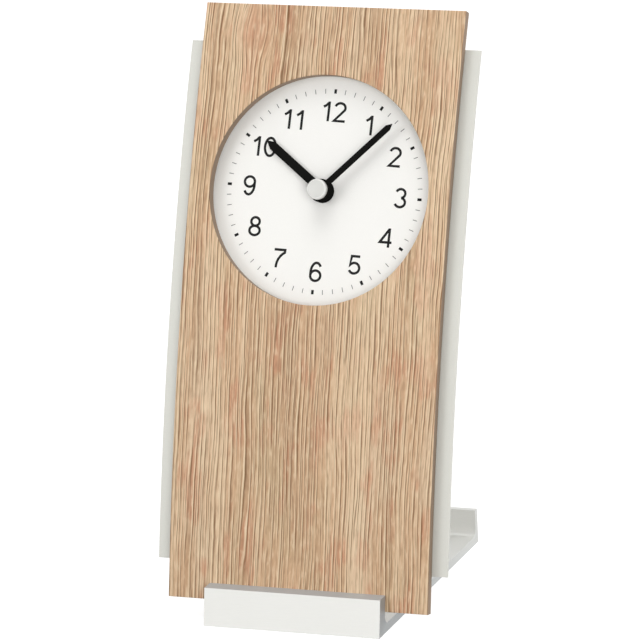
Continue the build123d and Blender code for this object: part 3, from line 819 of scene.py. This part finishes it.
def screwTree():
    tree = bpy.data.node_groups.new("screwRow", "GeometryNodeTree")
    tree.interface.new_socket("Geometry", in_out="OUTPUT", socket_type="NodeSocketGeometry")
    tree.interface.new_socket("Seats", in_out="INPUT", socket_type="NodeSocketGeometry")
    sizes = (
        "Head", "Head height", "Taper", "Shank", "Length", "Recess length", "Recess width", "Recess depth",
    )
    for name in sizes:
        tree.interface.new_socket(name, in_out="INPUT", socket_type="NodeSocketFloat")
    tree.interface.new_socket("Finish", in_out="INPUT", socket_type="NodeSocketMaterial")
    given = addNode(tree, "NodeGroupInput").outputs

    def moved(geometry, z):
        place = combined(tree, z=z)
        return addNode(tree, "GeometryNodeTransform", {"Geometry": geometry, "Translation": place}).outputs[0]

    # Drum drawn in to a dome as it rises
    size = {
        "Vertices": 40, "Side Segments": 5, "Depth": given["Head height"],
        "Radius Top": given["Head"], "Radius Bottom": given["Head"],
    }
    drum = addNode(tree, "GeometryNodeMeshCone", size).outputs[0]
    spot = addNode(tree, "GeometryNodeInputPosition").outputs[0]
    rise = calc(tree, "DIVIDE", axisOf(tree, spot, 2), given["Head height"])
    drawn = calc(tree, "SUBTRACT", 1.0, calc(tree, "MULTIPLY", given["Taper"], given["Taper"]))
    share = calc(tree, "MULTIPLY", drawn, calc(tree, "MULTIPLY", rise, rise))
    share = calc(tree, "SQRT", calc(tree, "SUBTRACT", 1.0, share))
    dome = stretched(tree, spot, combined(tree, share, share, 1.0))
    head = addNode(tree, "GeometryNodeSetPosition", {"Geometry": drum, "Position": dome}).outputs[0]
    # Two slots, the second a little shallower so that their floors don't coincide
    slots = (("Recess length", "Recess width", 2.0), ("Recess width", "Recess length", 1.8))
    for first, second, share in slots:
        tall = calc(tree, "MULTIPLY", given["Recess depth"], share)
        span = combined(tree, given[first], given[second], tall)
        slot = moved(addNode(tree, "GeometryNodeMeshCube", {"Size": span}).outputs[0], given["Head height"])
        cut = addNode(tree, "GeometryNodeMeshBoolean", {0: head, 1: slot}, operation="DIFFERENCE")
        head = cut.outputs[0]
    drop = calc(tree, "MULTIPLY", given["Length"], -0.5)
    size = {"Vertices": 24, "Radius": given["Shank"], "Depth": given["Length"]}
    rod = moved(addNode(tree, "GeometryNodeMeshCylinder", size).outputs[0], drop)
    joined = addNode(tree, "GeometryNodeJoinGeometry", {0: head}).inputs[0]
    tree.links.new(rod, joined)
    aim = addNode(tree, "GeometryNodeInputNamedAttribute", {"Name": "aim"}, data_type="FLOAT_VECTOR")
    spots = {"Points": given["Seats"], "Instance": joined.node.outputs[0], "Rotation": aim.outputs[0]}
    row = addNode(tree, "GeometryNodeInstanceOnPoints", spots)
    real = addNode(tree, "GeometryNodeRealizeInstances", {0: row.outputs[0]})
    inputs = {"Geometry": real.outputs[0], "Material": given["Finish"]}
    done = addNode(tree, "GeometryNodeSetMaterial", inputs)
    addNode(tree, "NodeGroupOutput", {0: done.outputs[0]})
    return tree


screwFinish = grained("screwZinc", (196, 196, 194), (176, 177, 176), 0.32, 1.0, perMm=(2, 2, 2), depth=0.006)
screwRow = screwTree()


def screwPiece(name, node, seats, length):
    base = bpy.data.meshes.new(name)
    base.from_pydata([place for place, angle in seats], [], [])
    aims = base.attributes.new("aim", "FLOAT_VECTOR", "POINT")
    for item, (place, angle) in zip(aims.data, seats):
        item.vector = (-pi / 2 - angle, 0, 0)
    long, wide, deep = screws["recess"]
    values = {
        "Head": screws["head"], "Head height": screws["headHeight"], "Shank": screws["shank"],
        "Length": length, "Recess length": long, "Recess width": wide, "Recess depth": deep,
    }
    values = {key: value * mm for key, value in values.items()}
    values |= {"Taper": screws["headTaper"], "Finish": screwFinish}
    mesh = runTree(screwRow, base, values)
    addPiece(name, mesh, "stand", [screwFinish], [node])


def panelSeat(x, rise, depth):
    return bent(x, rise, depth), lean + rise / bendRadius


seats = [panelSeat(s * screws["footSpread"] / 2, screws["footRise"], screws["footSeat"]) for s in (-1, 1)]
screwPiece("foot_screws.cross", "foot_screws", seats, screws["footLength"])
seats = [
    panelSeat(s * screws["plateSpread"] / 2, rise, screws["plateSeat"])
    for rise in screws["plateRises"] for s in (-1, 1)
]
screwPiece("plate_screws.cross", "plate_screws", seats, screws["plateLength"])
wide, tall, thick = screws["dialSize"]
inset = screws["dialInset"]
seats = [
    (dialFrame @ Vector((s * (wide / 2 - inset), t * (tall / 2 - inset), -thick)), dialLean)
    for s in (-1, 1) for t in (-1, 1)
]
screwPiece("dial_screws.cross", "dial_screws", seats, screws["dialLength"])
print("screws set")

# Movement: moulded case, cover with raised marks, and the knob that sets the hands
movement = {
    "colour": (38, 38, 38),
    "other": (30, 30, 31),
    "bevel": 0.3,
    "knobBevel": 0.12,
    "back": -18.0,
    "markHeight": 0.25,
    "markWidth": 0.8,
    "markSink": 0.1,
    "markBevel": 0.08,
    "knobAt": (10.8, 0.0),
    "knobRing": 8.0,
    "arrowRadius": 10.2,
    "arrowSpan": (20, 70),
    "arrowHead": (14, 1.4),
    "signs": ((21.5, -7.2), (-21.5, -7.2)),
    "signSize": 2.2,
    "badge": (-20.0, 6.0, 4.5, 15.0),
    "badgeRows": 5,
}
caseFinish = grained("caseBlack", movement["colour"], movement["other"], 0.5, perMm=(5, 5, 5), depth=0.02)
softened("movement_case", "stand", caseFinish, movement["bevel"])
softened("movement_cover", "stand", caseFinish, movement["bevel"])
softened("setting_knob", "setting_work", caseFinish, movement["knobBevel"])


def markMesh():
    bm = bmesh.new()
    low, high = movement["back"] - movement["markHeight"], movement["back"] + movement["markSink"]
    line = movement["markWidth"]
    x, y = movement["knobAt"]
    ring = arc(x, y, movement["knobRing"], movement["knobRing"], 0, 360)[:-1]
    ribbon(bm, ring, line, low, high, True)
    # A bent arrow with two heads
    reach = movement["arrowRadius"]
    start, end = movement["arrowSpan"]
    headTurn, headHalf = movement["arrowHead"]
    ribbon(bm, arc(x, y, reach, reach, start, end), line, low, high)
    for turn, way in ((start, -1), (end, 1)):
        tip, tail = radians(turn + headTurn * way), radians(turn - way)
        head = [(tip, reach), (tail, reach - headHalf), (tail, reach + headHalf)]
        plate(bm, [(x + r * cos(a), y + r * sin(a)) for a, r in head], low, high)
    # Plus and minus signs, then a badge of plain bars
    half = movement["signSize"] / 2
    for place, (x, y) in enumerate(movement["signs"]):
        ribbon(bm, [(x - half, y), (x + half, y)], line, low, high)
        if place == 0:
            ribbon(bm, [(x, y - half), (x, y + half)], line, low, high)
    left, bottom, wide, tall = movement["badge"]
    rows = movement["badgeRows"]
    for row in range(rows):
        y = bottom + tall * row / (rows - 1)
        ribbon(bm, [(left, y), (left + wide, y)], line, low, high)
    mesh = toMesh("marks", bm)
    mesh.transform(dialFrame)
    return mesh


marks = addPiece("movement_cover.marks", markMesh(), "stand", [caseFinish])
addBevel(marks, movement["markBevel"])

# Battery: sleeve shrunk over both ends, plain band at the positive end
battery = {
    "axis": (-19.3, -10.6),
    "span": (-24.1, 25.1),
    "radius": 7.25,
    "capRadius": 2.75,
    "capEnd": 26.4,
    "sleeve": (214, 216, 212),
    "sleeveOther": (204, 206, 203),
    "sleeveRound": 0.6,
    "band": (58, 112, 104),
    "bandFrom": 9.0,
    "lineGap": 1.6,
    "lineHalf": 0.4,
    "metal": (205, 205, 203),
    "metalOther": (190, 190, 188),
    "contactBevel": 0.08,
}


def sleeveFinish():
    finish, tree, shader = newFinish("batterySleeve", battery["sleeve"], 0.3)
    coords = turnedCoords(tree, 0.0)
    x = axisOf(tree, coords, 0)
    fleck = noise(tree, stretched(tree, coords, (3, 3, 3)), 3.0)
    band, start = linear(battery["band"]), battery["bandFrom"]
    colour = mixed(tree, fleck, linear(battery["sleeve"]), linear(battery["sleeveOther"]))
    colour = mixed(tree, spread(tree, x, start, start + 0.1), colour, band)
    line = calc(tree, "COMPARE", x, start - battery["lineGap"])
    line.node.inputs[2].default_value = battery["lineHalf"]
    colour = mixed(tree, line, colour, band)
    tree.links.new(colour, shader.inputs["Base Color"])
    addBump(tree, shader, fleck, 0.005)
    return finish


def batteryMesh(metalPart):
    bm = bmesh.new()
    start, end = battery["span"]
    radius, tip, top = battery["radius"], battery["capRadius"], battery["capEnd"]
    if metalPart:
        profile = [
            (0, start + 0.15), (radius - 1.0, start + 0.15), (radius - 0.7, start + 0.4),
            (radius - 0.7, end - 0.4), (tip + 0.9, end - 0.3), (tip, end - 0.1),
            (tip, top - 0.35), (tip - 0.35, top), (0, top),
        ]
    else:
        bend = battery["sleeveRound"]
        turns = [radians(a) for a in (0, 22.5, 45, 67.5, 90)]
        low = [(radius - bend + bend * sin(a), start + bend - bend * cos(a)) for a in turns]
        high = [(radius - bend + bend * cos(a), end - bend + bend * sin(a)) for a in turns]
        profile = [(radius - 1.2, start + 0.2), (radius - 1.0, start), *low, *high]
        profile += [(radius - 1.6, end), (radius - 1.8, end - 0.2), profile[0]]
    turned(bm, profile, 64)
    bmesh.ops.remove_doubles(bm, verts=bm.verts, dist=1e-4)
    mesh = toMesh("battery", bm)
    y, z = battery["axis"]
    mesh.transform(dialFrame @ Matrix.Translation((0, y, z)) @ Matrix.Rotation(pi / 2, 4, "Y"))
    return mesh


nickelFinish = grained(
    "nickel", battery["metal"], battery["metalOther"], 0.28, 1.0, perMm=(0.6, 3, 3), depth=0.004
)
addPiece("battery.sleeve", batteryMesh(False), "stand", [sleeveFinish()], ["battery"])
addPiece("battery.can", batteryMesh(True), "stand", [nickelFinish])
softened("contact_positive", "stand", nickelFinish, battery["contactBevel"])
softened("contact_negative", "stand", nickelFinish, battery["contactBevel"])
print("movement case and battery done")


# Pieces inside the case keep their CAD form and get their finish
inside = {
    "board": (34, 96, 58),
    "track": (62, 128, 82),
    "wire": (176, 96, 58),
    # Wire tones: painted shade in the grooves between turns, painted highlight on each crown
    "wireGroovePaintedShade": (150, 76, 44),
    "wireCrownPaintedHighlight": (196, 112, 70),
    "wirePitch": 0.18,
}


def boardFinish():
    finish, tree, shader = newFinish("solderMask", inside["board"], 0.35)
    tracks = noise(tree, stretched(tree, dialCoords(tree), (0.8, 0.8, 0)), 1.0)
    away = calc(tree, "ABSOLUTE", calc(tree, "SUBTRACT", tracks, 0.5))
    edge = spread(tree, away, 0.03, 0.05, 1.0, 0.0)
    tone = mixed(tree, edge, linear(inside["board"]), linear(inside["track"]))
    tree.links.new(tone, shader.inputs["Base Color"])
    addBump(tree, shader, edge, 0.03)
    return finish


# Turns of wire: lighter crowns and darker grooves, painted highlight and painted shade, with a matching bump
def windingFinish():
    finish, tree, shader = newFinish("copperWire", inside["wire"], 0.32, 1.0)
    rise = axisOf(tree, turnedCoords(tree, dialLean - pi / 2), 1)
    turns = calc(tree, "SINE", calc(tree, "MULTIPLY", rise, 2 * pi / inside["wirePitch"]))
    dark, light = linear(inside["wireGroovePaintedShade"]), linear(inside["wireCrownPaintedHighlight"])
    tone = mixed(tree, spread(tree, turns, -1.0, 1.0), dark, light)
    tree.links.new(tone, shader.inputs["Base Color"])
    addBump(tree, shader, turns, 0.03)
    return finish


acetal = grained("whiteAcetal", (238, 238, 234), (230, 230, 226), 0.42, perMm=(1.5, 1.5, 1.5), depth=0.006)
foam = grained("foam", (52, 52, 52), (38, 38, 38), 0.9, perMm=(6, 6, 6), depth=0.08)
brass = grained("brassTurned", (204, 170, 104), (190, 154, 90), 0.3, 1.0, perMm=(0.5, 4, 4), depth=0.004)
iron = grained("softIron", (148, 148, 148), (132, 132, 134), 0.4, 1.0, perMm=(0.3, 4, 4), depth=0.006)
insideFinishes = {
    "dial_spacers": foam, "mounting_pad": foam, "circuit_board": boardFinish(),
    "quartz_crystal": nickelFinish, "stator": iron, "coil_bobbin": acetal,
    "coil_winding": windingFinish(), "rotor": acetal, "fifth_wheel": acetal,
    "fourth_wheel": acetal, "third_wheel": acetal, "centre_wheel": acetal, "minute_arbor": brass,
    "hour_wheel": acetal, "motion_wheel": acetal,
}
for node, finish in insideFinishes.items():
    frame["nodes"][node].data.materials.clear()
    frame["nodes"][node].data.materials.append(finish)
print("inside finished")

# Floor, light and camera
floor = {"half": 6.0, "drop": 0.1, "tone": 0.5, "glow": 0.72}
lights = (
    {"name": "left", "at": (-1.5, -2.15, 1.0), "size": 1.2, "watts": 13.0},
    {"name": "right", "at": (1.3, -2.1, 0.7), "size": 1.2, "watts": 22.5},
    {"name": "top", "at": (0.0, -0.4, 2.5), "size": 1.6, "watts": 22.5},
    {"name": "back", "at": (1.7, 1.4, 1.2), "size": 1.4, "watts": 29.0},
)
ambient = 0.4
view = {
    "target": (0.0, -22.5, 100.0),
    "azimuth": 20.84,
    "elevation": 16.05,
    "roll": -2.88,
    "lens": 310.97,
    "aside": 4.37,
    "above": 1.2,
    "away": 1865.28,
}


# One for rays that see the background directly, by mirror or through glass
def seenRays(tree):
    rays = addNode(tree, "ShaderNodeLightPath").outputs
    either = calc(tree, "MAXIMUM", rays["Is Camera Ray"], rays["Is Glossy Ray"])
    return calc(tree, "MAXIMUM", either, rays["Is Transmission Ray"])


half, drop = floor["half"], -floor["drop"] * mm
floorMesh = bpy.data.meshes.new("floor")
floorCorners = [(x * half, y * half, drop) for x, y in ((-1, -1), (1, -1), (1, 1), (-1, 1))]
floorMesh.from_pydata(floorCorners, [], [(0, 1, 2, 3)])
finish, tree, shader = newFinish("floorWhite", (255, 255, 255), 0.9, specular=0.0)
speck = noise(tree, stretched(tree, turnedCoords(tree, 0.0), (0.01, 0.01, 0.01)))
tone = spread(tree, speck, 0.0, 1.0, floor["tone"] - 0.01, floor["tone"] + 0.01)
tree.links.new(tone, shader.inputs["Base Color"])
glowing = calc(tree, "MULTIPLY", seenRays(tree), floor["glow"])
glow = addNode(tree, "ShaderNodeEmission", {"Strength": glowing})
both = addNode(tree, "ShaderNodeAddShader", {0: shader.outputs[0], 1: glow.outputs[0]})
tree.links.new(both.outputs[0], tree.nodes["Material Output"].inputs["Surface"])
floorMesh.materials.append(finish)
floorPiece = bpy.data.objects.new("floor", floorMesh)
bpy.context.scene.collection.objects.link(floorPiece)

world = bpy.data.worlds.new("studio")
world.use_nodes = True
bpy.context.scene.world = world
tree = world.node_tree
strength = spread(tree, seenRays(tree), 0.0, 1.0, ambient, 1.0)
tree.links.new(strength, tree.nodes["Background"].inputs["Strength"])
tree.nodes["Background"].inputs["Color"].default_value = (1, 1, 1, 1)

target = Vector(view["target"]) * mm
for light in lights:
    lamp = bpy.data.lights.new(light["name"], "AREA")
    lamp.size = light["size"]
    lamp.energy = light["watts"]
    holder = bpy.data.objects.new(light["name"], lamp)
    holder.location = light["at"]
    holder.rotation_euler = (target - Vector(light["at"])).to_track_quat("-Z", "Y").to_euler()
    bpy.context.scene.collection.objects.link(holder)

turn, rise, roll = (radians(view[key]) for key in ("azimuth", "elevation", "roll"))
away = Vector((sin(turn) * cos(rise), -cos(turn) * cos(rise), sin(rise)))
right = Vector((cos(turn), sin(turn), 0))
upward = away.cross(right)
right, upward = right * cos(roll) + upward * sin(roll), upward * cos(roll) - right * sin(roll)
camera = bpy.data.objects.new("camera", bpy.data.cameras.new("camera"))
camera.data.lens = view["lens"]
camera.data.sensor_width = 36.0
camera.data.clip_end = 50.0
place = target + (right * view["aside"] + upward * view["above"] + away * view["away"]) * mm
camera.matrix_world = Matrix.Translation(place) @ Matrix((right, upward, away)).transposed().to_4x4()
bpy.context.scene.collection.objects.link(camera)
bpy.context.scene.camera = camera
bpy.context.scene.view_settings.view_transform = "Standard"
print("stage lit")
